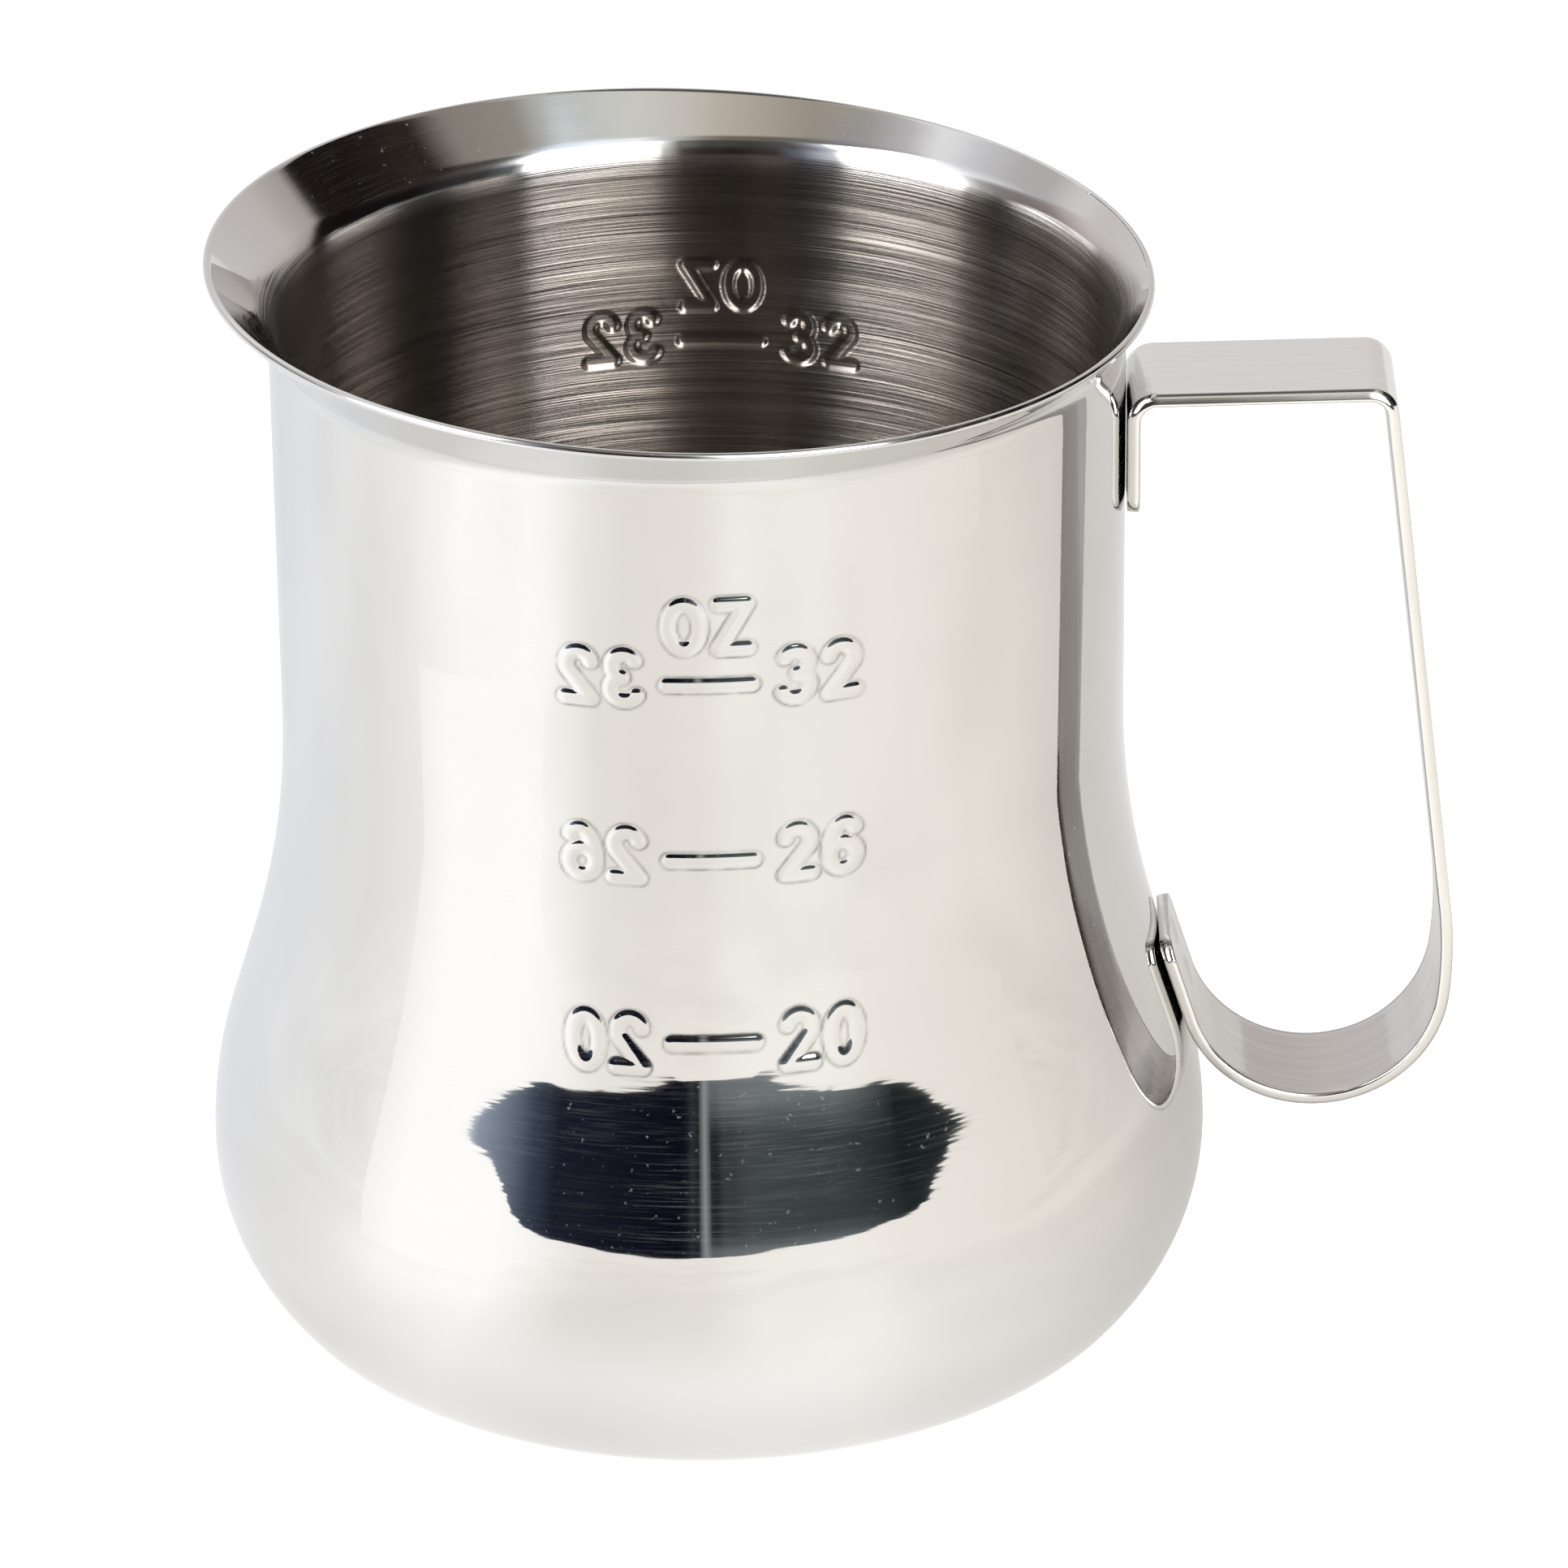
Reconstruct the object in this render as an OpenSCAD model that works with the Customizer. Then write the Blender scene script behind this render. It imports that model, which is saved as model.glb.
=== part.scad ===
// Bell-shaped milk frothing pitcher of drawn stainless steel: a one-piece vessel with a
// flared pouring lip, a bent strip handle and the spot welds that hold it.
// The origin is the centre of the base, +Z is up and the handle points along +X.

/* [Vessel] */
// Height of the middle of the lip above the base
lip_height = 134.2; // [130:0.2:140]
// Outside radius of the neck
neck_radius = 51; // [49:0.25:52.5]
// Outside radius at the widest part of the belly
belly_radius = 61.2; // [60:0.2:62.4]
// Height of the widest part of the belly
belly_height = 20.8; // [20:0.2:22]
// Height at which the neck starts to widen towards the belly
shoulder_height = 77.7; // [76:0.25:80]
// Angle of the flank between neck and belly, from the vertical
flank_angle = 17.5; // [17:0.1:17.8]
// Radius of the curve just above the widest part
upper_belly_curve = 50; // [48:0.5:52]
// Radius of the curve just below the widest part
lower_belly_curve = 27.3; // [26.5:0.1:29]
// Radius of the corner around the base
base_curve = 9.3; // [8:0.1:10]
// Thickness of the drawn sheet
wall = 1; // [0.7:0.05:1.2]

/* [Lip] */
// Radius of the circle that the lip's outer edge makes
lip_radius = 56.6; // [55:0.2:58]
// How far the lip's circle sits off the vessel's axis, away from the handle
lip_offset = 2; // [0:0.1:3]
// Tilt of the lip, higher on the side away from the handle
lip_tilt = 2.2; // [0:0.1:3]
// Distance from the middle of the lip down to the top of the straight neck
lip_drop = 7.4; // [7:0.2:10]
// Radius of the bend where the neck turns into the lip
lip_bend = 4; // [2:0.25:4.5]

/* [Handle] */
// Width of the strip
strip_width = 16.8; // [14:0.2:20]
// Thickness of the strip
strip_thickness = 1.5; // [1.2:0.1:2]
// Height of the strip's upper face at its bend above the upper tab
handle_top = 120.5; // [118:0.25:121.5]
// Length of the flat at the top, between its two bends
top_run = 25.2; // [22:0.2:28]
// Rise of the flat at the top, outwards
top_rise = 1.2; // [0:0.1:3]
// Angle of the grip from the vertical, outwards as it goes down
grip_lean = 6.6; // [5:0.1:8]
// Inside radius of the two tight bends at the top
tight_bend = 2; // [1.5:0.25:3]
// Radius of the slow bend at the foot of the grip
slow_bend = 56; // [50:1:62]
// Angle that the slow bend turns through
slow_turn = 12.6; // [10:0.2:14]
// Height at which the return bend meets the lower tab
tab_meet = 37.1; // [36:0.1:38.5]
// Height of the lower tab's upper end
tab_top = 47.3; // [46:0.1:49]
// Height of the upper tab's lower end
tab_foot = 104.5; // [102:0.25:107]
// Radius of the tabs' corners
tab_corner = 3; // [1:0.25:4]

/* [Spot welds] */
// Radius of one weld
weld_radius = 2.2; // [1.5:0.1:3]
// Distance between the two welds on a tab
weld_pitch = 6; // [5.5:0.1:7]
// Depth that a weld reaches into the vessel's wall
weld_depth = 0.2; // [0.1:0.05:0.4]

/* [Hidden] */
round_steps = 72;
steel = [0.80, 0.80, 0.79];
strip_steel = [0.74, 0.74, 0.72];
weld_steel = [0.60, 0.60, 0.59];

// Radius of the hollow curve from the neck down to the flank, so that all the curves meet
bulge = belly_radius - neck_radius;
bell_drop = shoulder_height - belly_height;
shoulder_curve =
    (bell_drop * tan(flank_angle) - bulge) / (1 / cos(flank_angle) - 1) - upper_belly_curve;
// Where the corner of the base meets the curve above it
corner_span = lower_belly_curve - base_curve;
corner_rise = belly_height - base_curve;
corner_angle = asin(corner_rise / corner_span);
corner_reach =
    belly_radius - lower_belly_curve + sqrt(pow(corner_span, 2) - pow(corner_rise, 2));
neck_top = lip_height - lip_drop;

// One point on a curve of the profile, [radius, height]
function on_curve(centre, radius, angle) =
    centre + radius * [cos(angle), sin(angle)];

// The profile from the base to the top of the neck, moved inwards by a sheet's thickness
function profile(inset) = concat(
    [for (a = [0:6])
        on_curve([corner_reach, base_curve], base_curve - inset,
                 -90 + a * (90 - corner_angle) / 6)],
    [for (a = [1:6])
        on_curve([belly_radius - lower_belly_curve, belly_height],
                 lower_belly_curve - inset, -corner_angle * (1 - a / 6))],
    [for (a = [1:4])
        on_curve([belly_radius - upper_belly_curve, belly_height],
                 upper_belly_curve - inset, flank_angle * a / 4)],
    [for (a = [0:8])
        on_curve([neck_radius + shoulder_curve, shoulder_height],
                 shoulder_curve + inset, 180 + flank_angle * (1 - a / 8))],
    [[neck_radius - inset, neck_top]]
);

// A circle of points at one height around the vessel's axis
function hoop(point) =
    [for (i = [0:round_steps - 1])
        let (a = 360 * i / round_steps)
        [point[0] * cos(a), point[0] * sin(a), point[1]]];

// The outer edge of the lip at an angle around it, before its reach past the neck is known
function lip_edge(a) = [
    lip_radius * cos(a) * cos(lip_tilt) - lip_offset,
    lip_radius * sin(a),
    lip_height - lip_radius * cos(a) * sin(lip_tilt)
];

// How far the lip reaches out past the neck, and how far up, at that angle
function lip_reach(a) =
    norm([lip_edge(a)[0] - neck_radius * cos(a), lip_edge(a)[1] - neck_radius * sin(a)]);
function lip_rise(a) = lip_edge(a)[2] - neck_top;

// The turn of the bend, so that the straight part after it ends on the lip's edge
function lip_turn(a) =
    let (out = lip_reach(a) - lip_bend, up = lip_rise(a))
    180 - atan2(up, out) - acos(lip_bend / norm([out, up]));
function lip_straight(a) =
    let (out = lip_reach(a) - lip_bend, up = lip_rise(a))
    sqrt(pow(out, 2) + pow(up, 2) - pow(lip_bend, 2));

// A point of the lip: part of the bend from 0 to 1, then part of the straight from 0 to 1
function lip_point(a, bend_part, straight_part, inset) =
    let (
        turn = lip_turn(a),
        now = turn * bend_part,
        run = lip_straight(a) * straight_part,
        out = lip_bend - (lip_bend + inset) * cos(now) + run * sin(turn),
        up = (lip_bend + inset) * sin(now) + run * cos(turn),
        way = [lip_edge(a)[0] - neck_radius * cos(a), lip_edge(a)[1] - neck_radius * sin(a)]
            / lip_reach(a)
    )
    [neck_radius * cos(a) + way[0] * out, neck_radius * sin(a) + way[1] * out, neck_top + up];

function lip_hoop(bend_part, straight_part, inset) =
    [for (i = [0:round_steps - 1])
        lip_point(360 * i / round_steps, bend_part, straight_part, inset)];

// All the circles of one side of the sheet, from the base to the lip's edge
function skin(inset) = concat(
    [for (point = profile(inset)) hoop(point)],
    [for (k = [1:4]) lip_hoop(k / 4, 0, inset)],
    [for (k = [1:2]) lip_hoop(1, k / 2, inset)]
);

module vessel() {
    outside = skin(0);
    inside = skin(wall);
    rows = len(outside);
    // Up the outside, over the lip's edge and down the inside
    hoops = concat(outside, [for (k = [rows - 1:-1:0]) inside[k]]);
    last = len(hoops) - 1;
    points = [for (h = hoops) for (p = h) p];
    sides = [for (k = [0:last - 1]) for (i = [0:round_steps - 1])
        let (
            j = (i + 1) % round_steps,
            low = k * round_steps,
            high = low + round_steps
        )
        each [[low + i, high + i, high + j], [low + i, high + j, low + j]]];
    base = [for (i = [0:round_steps - 1]) i];
    floor = [for (i = [round_steps - 1:-1:0]) last * round_steps + i];
    color(steel)
        polyhedron(points = points, faces = concat([base, floor], sides), convexity = 6);
}

// The handle is one strip, bent along a line in the XZ plane. Headings are angles from +X.
centre_bend = tight_bend + strip_thickness / 2;
tab_heading = 90 + flank_angle;
grip_heading = grip_lean - 90;
return_heading = grip_heading - slow_turn;

// The end of a run or of a clockwise bend that starts at a point with a heading
function after_run(p, heading, length) = p + length * [cos(heading), sin(heading)];
function after_bend(p, heading, radius, turn) =
    p + radius * [sin(heading) - sin(heading - turn), cos(heading - turn) - cos(heading)];

// A clearance keeps the strip just off the wall between its welds
clearance = 0.05;
upper_start = [neck_radius + clearance + strip_thickness / 2,
               handle_top - strip_thickness / 2 - centre_bend];
top_start = after_bend(upper_start, 90, centre_bend, 90 - top_rise);
top_end = after_run(top_start, top_rise, top_run);
grip_start = after_bend(top_end, top_rise, centre_bend, top_rise - grip_heading);

// A point on the flank, and the strip's middle beside it
flank_start = [belly_radius - upper_belly_curve * (1 - cos(flank_angle)),
               belly_height + upper_belly_curve * sin(flank_angle)];
function beside_flank(height) =
    [flank_start[0] - (height - flank_start[1]) * tan(flank_angle), height]
    + (clearance + strip_thickness / 2) * [cos(flank_angle), sin(flank_angle)];
tab_start = beside_flank(tab_meet);
lower_tab_length = (tab_top - tab_meet) / cos(flank_angle);

// The grip's length and the return bend's radius, so that the strip ends on the lower tab
still_to_go = tab_start - grip_start
    - (after_bend([0, 0], grip_heading, slow_bend, slow_turn));
return_turn = return_heading + 360 - tab_heading;
grip_way = [cos(grip_heading), sin(grip_heading)];
return_way = after_bend([0, 0], return_heading, 1, return_turn);
cross_way = grip_way[0] * return_way[1] - grip_way[1] * return_way[0];
grip_run = (still_to_go[0] * return_way[1] - still_to_go[1] * return_way[0]) / cross_way;
return_bend = (grip_way[0] * still_to_go[1] - grip_way[1] * still_to_go[0]) / cross_way;
grip_end = after_run(grip_start, grip_heading, grip_run);
return_start = after_bend(grip_end, grip_heading, slow_bend, slow_turn);

// The sides of the strip: a point beside the middle line, or a row of them around a bend.
// Side is +1 for the outside of the bends and -1 for their inside.
function beside(p, heading, side) =
    p + side * strip_thickness / 2 * [-sin(heading), cos(heading)];
function around(p, heading, radius, turn, steps, side) =
    let (centre = p + radius * [sin(heading), -cos(heading)])
    [for (k = [0:steps])
        centre + (radius + side * strip_thickness / 2)
            * [-sin(heading - turn * k / steps), cos(heading - turn * k / steps)]];
function strip_side(side) = concat(
    [beside([upper_start[0], tab_foot], 90, side)],
    around(upper_start, 90, centre_bend, 90 - top_rise, 12, side),
    around(top_end, top_rise, centre_bend, top_rise - grip_heading, 12, side),
    around(grip_end, grip_heading, slow_bend, slow_turn, 10, side),
    around(return_start, return_heading, return_bend, return_turn, 45, side),
    [beside(after_run(tab_start, tab_heading, lower_tab_length), tab_heading, side)]
);

// What is cut from a tab that runs from a point: its two outer corners and its weld holes
module tab_cuts(p, heading, length, first_weld) {
    translate([p[0], 0, p[1]])
        rotate([0, -heading, 0])
        translate([0, 0, -strip_thickness])
        linear_extrude(2 * strip_thickness) {
            for (side = [0, 1])
                mirror([0, side])
                translate([length - tab_corner, strip_width / 2 - tab_corner])
                difference() {
                    square(tab_corner + 1);
                    circle(tab_corner, $fn = 48);
                }
            for (k = [0, 1])
                translate([first_weld + k * weld_pitch, 0])
                    circle(weld_radius, $fn = 48);
        }
}

// Where the first weld of each tab sits, measured from the tab's bend
upper_tab_length = upper_start[1] - tab_foot;
upper_first = (upper_tab_length - weld_pitch) / 2;
lower_first = (lower_tab_length - weld_pitch) / 2;

module handle() {
    outer = strip_side(1);
    inner = strip_side(-1);
    color(strip_steel) difference() {
        rotate([90, 0, 0])
            linear_extrude(strip_width, center = true)
            polygon(concat(outer, [for (k = [len(inner) - 1:-1:0]) inner[k]]));
        tab_cuts(upper_start, -90, upper_tab_length, upper_first);
        tab_cuts(tab_start, tab_heading, lower_tab_length, lower_first);
    }
}

// Two welds fill the holes of a tab and are fused into the wall behind it. Side is 1 where
// the wall lies to the left of the heading and -1 where it lies to the right.
module weld_pair(p, heading, first_weld, side) {
    outer_face = strip_thickness / 2;
    depth = strip_thickness + clearance + weld_depth;
    translate([p[0], 0, p[1]])
        rotate([0, -heading, 0])
        for (k = [0, 1])
            translate([first_weld + k * weld_pitch, 0, side > 0 ? -outer_face : outer_face - depth])
            cylinder(h = depth, r = weld_radius, $fn = 48);
}

module spot_welds() {
    color(weld_steel) {
        weld_pair(upper_start, -90, upper_first, -1);
        weld_pair(tab_start, tab_heading, lower_first, 1);
    }
}

vessel();
handle();
spot_welds();
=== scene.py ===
"""Looks of a bell-shaped steel milk frothing pitcher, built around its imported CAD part."""

import math

import bpy
import numpy as np
from mathutils import Matrix, Vector


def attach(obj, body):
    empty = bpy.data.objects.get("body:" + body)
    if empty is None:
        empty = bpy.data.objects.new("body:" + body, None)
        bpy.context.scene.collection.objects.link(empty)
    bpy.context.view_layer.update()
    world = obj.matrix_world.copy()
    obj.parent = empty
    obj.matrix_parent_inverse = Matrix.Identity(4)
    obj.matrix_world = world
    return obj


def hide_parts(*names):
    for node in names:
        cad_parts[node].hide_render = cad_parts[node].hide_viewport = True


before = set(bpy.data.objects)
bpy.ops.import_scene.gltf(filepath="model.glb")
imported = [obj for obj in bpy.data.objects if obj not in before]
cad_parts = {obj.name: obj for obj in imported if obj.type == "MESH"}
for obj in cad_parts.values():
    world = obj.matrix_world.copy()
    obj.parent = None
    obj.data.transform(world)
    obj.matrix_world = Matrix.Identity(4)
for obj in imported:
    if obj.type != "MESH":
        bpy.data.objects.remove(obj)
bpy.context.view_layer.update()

MM = 0.001
DEG = math.pi / 180

# Sizes of the CAD part, in millimetres and degrees, as its source names them
LIP_HEIGHT = 134.2
NECK_RADIUS = 51.0
BELLY_RADIUS = 61.2
BELLY_HEIGHT = 20.8
SHOULDER_HEIGHT = 77.7
FLANK_ANGLE = 17.5 * DEG
UPPER_BELLY_CURVE = 50.0
LOWER_BELLY_CURVE = 27.3
BASE_CURVE = 9.3
WALL = 1.0
LIP_RADIUS = 56.6
LIP_OFFSET = 2.0
LIP_TILT = 2.2 * DEG
LIP_DROP = 7.4
LIP_BEND = 4.0

STRIP_WIDTH = 16.8
STRIP_THICKNESS = 1.5
HANDLE_TOP = 120.5
TOP_RUN = 25.2
TOP_RISE = 1.2 * DEG
GRIP_LEAN = 6.6 * DEG
TIGHT_BEND = 2.0
SLOW_BEND = 56.0
SLOW_TURN = 12.6 * DEG
TAB_MEET = 37.1
TAB_TOP = 47.3
TAB_FOOT = 104.5
TAB_CORNER = 3.0
CLEARANCE = 0.05
WELD_PITCH = 6.0

# What follows from them
NECK_TOP = LIP_HEIGHT - LIP_DROP
BULGE = BELLY_RADIUS - NECK_RADIUS
BELL_DROP = SHOULDER_HEIGHT - BELLY_HEIGHT
SHOULDER_CURVE = (BELL_DROP * math.tan(FLANK_ANGLE) - BULGE) / (
    1 / math.cos(FLANK_ANGLE) - 1
) - UPPER_BELLY_CURVE
FLANK_FOOT = (
    BELLY_RADIUS - UPPER_BELLY_CURVE * (1 - math.cos(FLANK_ANGLE)),
    BELLY_HEIGHT + UPPER_BELLY_CURVE * math.sin(FLANK_ANGLE),
)
CORNER_SPAN = LOWER_BELLY_CURVE - BASE_CURVE
CORNER_RISE = BELLY_HEIGHT - BASE_CURVE
CORNER_ANGLE = math.asin(CORNER_RISE / CORNER_SPAN)
CORNER_REACH = BELLY_RADIUS - LOWER_BELLY_CURVE + math.sqrt(CORNER_SPAN**2 - CORNER_RISE**2)


# ---------------------------------------------------------------- meshes


def make_mesh(name, points, faces, materials, face_slots=None):
    """A smooth-shaded mesh object from points in millimetres."""
    mesh = bpy.data.meshes.new(name)
    mesh.from_pydata((np.asarray(points) * MM).tolist(), [], faces)
    for material in materials:
        mesh.materials.append(material)
    if face_slots is not None:
        mesh.polygons.foreach_set("material_index", np.asarray(face_slots, np.int32))
    mesh.polygons.foreach_set("use_smooth", np.ones(len(mesh.polygons), bool))
    mesh.update()
    obj = bpy.data.objects.new(name, mesh)
    bpy.context.scene.collection.objects.link(obj)
    return obj


def grid_faces(count, width, closed=True):
    """Four-sided faces between neighbouring rows of points, each row width points long."""
    i = np.arange(width if closed else width - 1)
    j = (i + 1) % width
    low = width * np.arange(count - 1)[:, None]
    high = low + width
    return np.stack([low + i, low + j, high + j, high + i], -1).reshape(-1, 4).tolist()


def store(obj, name, values, first=0):
    """Keeps a number for each point of a mesh, from a given point on, for its material."""
    whole = np.zeros(len(obj.data.vertices), np.float32)
    whole[first : first + values.size] = values.ravel()
    obj.data.attributes.new(name, "FLOAT", "POINT").data.foreach_set("value", whole)


def spread(low, high, spacing_at):
    """Values from low to high whose spacing at each value is about spacing_at(value)."""
    fine = np.linspace(low, high, 20001)
    density = 1 / spacing_at(fine)
    count = np.concatenate([[0], np.cumsum((density[1:] + density[:-1]) / 2 * np.diff(fine))])
    steps = max(2, int(math.ceil(count[-1])))
    return np.interp(np.linspace(0, count[-1], steps + 1), count, fine)


def ease(x, start, end):
    """0 before start, 1 after end, and a smooth rise between them."""
    t = np.clip((x - start) / (end - start), 0, 1)
    return t * t * (3 - 2 * t)


# ---------------------------------------------------------------- graduations

MARK_CENTRE = 1.9  # the stamping's middle, along X
# The rise of a stroke, half its width where it starts to fall, and the width of the fall:
# soft outside, where the sheet is pushed out, and crisp inside, where the punch went in
STROKE_OUTSIDE = (0.18, 0.24, 0.9)
STROKE_INSIDE = (0.4, 0.45, 0.6)
DISH = (0.03, 0.8, 4.2)  # the sheet around the strokes is drawn out a little with them
STROKE_FOOT = 1.1  # distance from a stroke's middle at which it meets the wall
CREASE = 0.16  # width of the line of painted shade there
PRESSED = (1.0, 0.4, 0.4)  # where the punch left the inside smooth


def arc(centre, radii, start, end, steps):
    """Points along part of an ellipse, from one angle in degrees to another."""
    a = np.radians(np.linspace(start, end, steps + 1))
    return [
        (centre[0] + radii[0] * math.cos(t), centre[1] + radii[1] * math.sin(t)) for t in a
    ]


# Strokes of each glyph about its middle, for a height of 2 and a width of 1.2
GLYPHS = {
    "0": [arc((0, 0), (0.6, 1), 90, 450, 40)],
    "2": [arc((0, 0.46), (0.56, 0.54), 165, -28, 20) + [(-0.56, -1), (0.62, -1)]],
    "3": [
        arc((-0.02, 0.5), (0.54, 0.5), 150, -80, 20)
        + arc((-0.04, -0.48), (0.62, 0.52), 80, -150, 20)
    ],
    "6": [
        arc((0, -0.42), (0.6, 0.58), 0, 360, 36),
        arc((0.12, -0.3), (0.72, 1.3), 180, 100, 14)
        + arc((0.06, 0.56), (0.5, 0.44), 90, 20, 8),
    ],
    "Z": [[(-0.56, 1), (0.56, 1), (-0.56, -1), (0.58, -1)]],
    "-": [[(-0.6, 0), (0.6, 0)]],
}
GLYPHS["O"] = GLYPHS["0"]


def glyph(name, middle, half_width, half_height, mirrored=False):
    """The strokes of a glyph in place: middle and halves in millimetres."""
    side = -1 if mirrored else 1
    return [
        [
            (middle[0] + side * x / 0.6 * half_width, middle[1] + y * half_height)
            for x, y in stroke
        ]
        for stroke in GLYPHS[name]
    ]


DIGIT_HALF_PITCH = 2.6
DIGIT_HALF_SIZE = (1.55, 2.95)
LEFT_NUMBER, RIGHT_NUMBER = -12.6, 12.45  # places of the numbers' middles
BAR_MIDDLE, BAR_HALF = -0.15, 4.9
UNIT_HEIGHT = 110.7
UNIT_LETTERS = [("O", -2.95, (1.85, 2.8)), ("Z", 2.65, (1.75, 2.8))]
MARKS = [("32", 103.3, 104.1), ("26", 80.8, 81.4), ("20", 57.8, 57.8)]  # heights: bar, digits


def number(text, middle, mirrored):
    """Two digits side by side. Mirrored, they also change places."""
    left, right = (text[1], text[0]) if mirrored else (text[0], text[1])
    strokes = []
    for digit, side in ((left, -1), (right, 1)):
        place = (middle[0] + side * DIGIT_HALF_PITCH, middle[1])
        strokes += glyph(digit, place, *DIGIT_HALF_SIZE, mirrored)
    return strokes


def mark_strokes():
    """Every stroke of the stamping, as lists of points [across, height]."""
    strokes = []
    for letter, place, half_size in UNIT_LETTERS:
        strokes += glyph(letter, (place, UNIT_HEIGHT), *half_size)
    for text, bar, digits in MARKS:
        strokes += glyph("-", (BAR_MIDDLE, bar), BAR_HALF, 1)
        strokes += number(text, (LEFT_NUMBER, digits), True)
        strokes += number(text, (RIGHT_NUMBER, digits), False)
    return strokes


def stroke_distance(across, height):
    """How far points of the stamping's plane are from the middle line of the nearest stroke."""
    reach, far_off = 6.0, 99.0
    distance = np.full(across.shape, far_off)
    for stroke in mark_strokes():
        s = np.array(stroke)
        low, high = s.min(0) - reach, s.max(0) + reach
        near = (across > low[0]) & (across < high[0]) & (height > low[1]) & (height < high[1])
        if not near.any():
            continue
        p = np.stack([across[near], height[near]], 1)
        d = distance[near]
        for a, b in zip(s[:-1], s[1:]):
            way = b - a
            t = np.clip(((p - a) @ way) / max(way @ way, 1e-9), 0, 1)
            d = np.minimum(d, np.linalg.norm(p - a - t[:, None] * way, axis=1))
        distance[near] = d
    return distance


def fall(distance, shape):
    """A rise that falls off with distance: shape is its height, where it starts and how far."""
    rise, start, width = shape
    return rise * (1 - ease(distance, start, start + width))


# ---------------------------------------------------------------- vessel


def arc_piece(centre, radius, start, end, normal_turn):
    """A curve of the profile: its length, and its points and normals at lengths along it."""
    length = abs(end - start) * radius

    def at(run):
        a = start + (end - start) * run / length
        out = np.stack([np.cos(a), np.sin(a)], -1)
        return np.asarray(centre) + radius * out, normal_turn * out

    return length, at


def line_piece(start, end):
    """A straight run of the profile, as arc_piece gives a curved one."""
    start, end = np.array(start, float), np.array(end, float)
    length = float(np.linalg.norm(end - start))
    way = (end - start) / length

    def at(run):
        run = np.asarray(run, float)
        normal = np.broadcast_to([way[1], -way[0]], run.shape + (2,))
        return start + run[..., None] * way, normal

    return length, at


PROFILE = [
    arc_piece((CORNER_REACH, BASE_CURVE), BASE_CURVE, -math.pi / 2, -CORNER_ANGLE, 1),
    arc_piece(
        (BELLY_RADIUS - LOWER_BELLY_CURVE, BELLY_HEIGHT), LOWER_BELLY_CURVE, -CORNER_ANGLE, 0, 1
    ),
    arc_piece(
        (BELLY_RADIUS - UPPER_BELLY_CURVE, BELLY_HEIGHT), UPPER_BELLY_CURVE, 0, FLANK_ANGLE, 1
    ),
    line_piece(
        FLANK_FOOT,
        (
            NECK_RADIUS + SHOULDER_CURVE * (1 - math.cos(FLANK_ANGLE)),
            SHOULDER_HEIGHT - SHOULDER_CURVE * math.sin(FLANK_ANGLE),
        ),
    ),
    arc_piece(
        (NECK_RADIUS + SHOULDER_CURVE, SHOULDER_HEIGHT),
        SHOULDER_CURVE,
        math.pi + FLANK_ANGLE,
        math.pi,
        -1,
    ),
    line_piece((NECK_RADIUS, SHOULDER_HEIGHT), (NECK_RADIUS, NECK_TOP)),
]
PROFILE_LENGTH = sum(length for length, _ in PROFILE)


def profile_at(runs):
    """Points and outward normals, both [radius, height], at lengths along the profile."""
    points, normals = np.zeros((len(runs), 2)), np.zeros((len(runs), 2))
    start = 0.0
    for k, (length, at) in enumerate(PROFILE):
        last = k == len(PROFILE) - 1
        here = (runs >= start) & ((runs < start + length) | last)
        if here.any():
            points[here], normals[here] = at(runs[here] - start)
        start += length
    return points, normals


def lip_curve(azimuth, inset, bend_steps=16, straight_steps=10):
    """The lip from the top of the neck to its edge, [step, column, xyz]."""
    ca, sa = np.cos(azimuth), np.sin(azimuth)
    edge = np.stack(
        [
            LIP_RADIUS * ca * math.cos(LIP_TILT) - LIP_OFFSET,
            LIP_RADIUS * sa,
            LIP_HEIGHT - LIP_RADIUS * ca * math.sin(LIP_TILT),
        ],
        -1,
    )
    neck = NECK_RADIUS * np.stack([ca, sa], -1)
    reach = np.linalg.norm(edge[:, :2] - neck, axis=1)
    way = (edge[:, :2] - neck) / reach[:, None]
    out, up = reach - LIP_BEND, edge[:, 2] - NECK_TOP
    turn = math.pi - np.arctan2(up, out) - np.arccos(LIP_BEND / np.hypot(out, up))
    straight = np.sqrt(out**2 + up**2 - LIP_BEND**2)
    bend = LIP_BEND + inset
    rows = []
    for k in range(1, bend_steps + 1):
        now = turn * k / bend_steps
        rows.append((LIP_BEND - bend * np.cos(now), bend * np.sin(now)))
    bend_out, bend_up = rows[-1]
    for k in range(1, straight_steps + 1):
        run = straight * k / straight_steps
        rows.append((bend_out + run * np.sin(turn), bend_up + run * np.cos(turn)))
    return np.array(
        [np.concatenate([neck + way * o[:, None], (NECK_TOP + u)[:, None]], 1) for o, u in rows]
    )


def resample(rows, lengths_of):
    """The same curves at new lengths: lengths_of(column, lengths, points) gives the new ones."""
    steps = np.linalg.norm(np.diff(rows, axis=0), axis=2)
    along = np.concatenate([np.zeros((1, rows.shape[1])), np.cumsum(steps, 0)])
    columns = []
    for c in range(rows.shape[1]):
        wanted = lengths_of(c, along[:, c], rows[:, c])
        columns.append(
            np.stack([np.interp(wanted, along[:, c], rows[:, c, k]) for k in range(3)], 1)
        )
    return np.stack(columns, 1)


# How far the polish reaches down inside: under the lip's middle, how much further for each
# millimetre off the handle's plane, and how that slope levels out
POLISH_DROP = 1.33
POLISH_SLOPE = 0.129
POLISH_LEVELLING = 0.0012
EDGE_ROUND = 0.45


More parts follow.
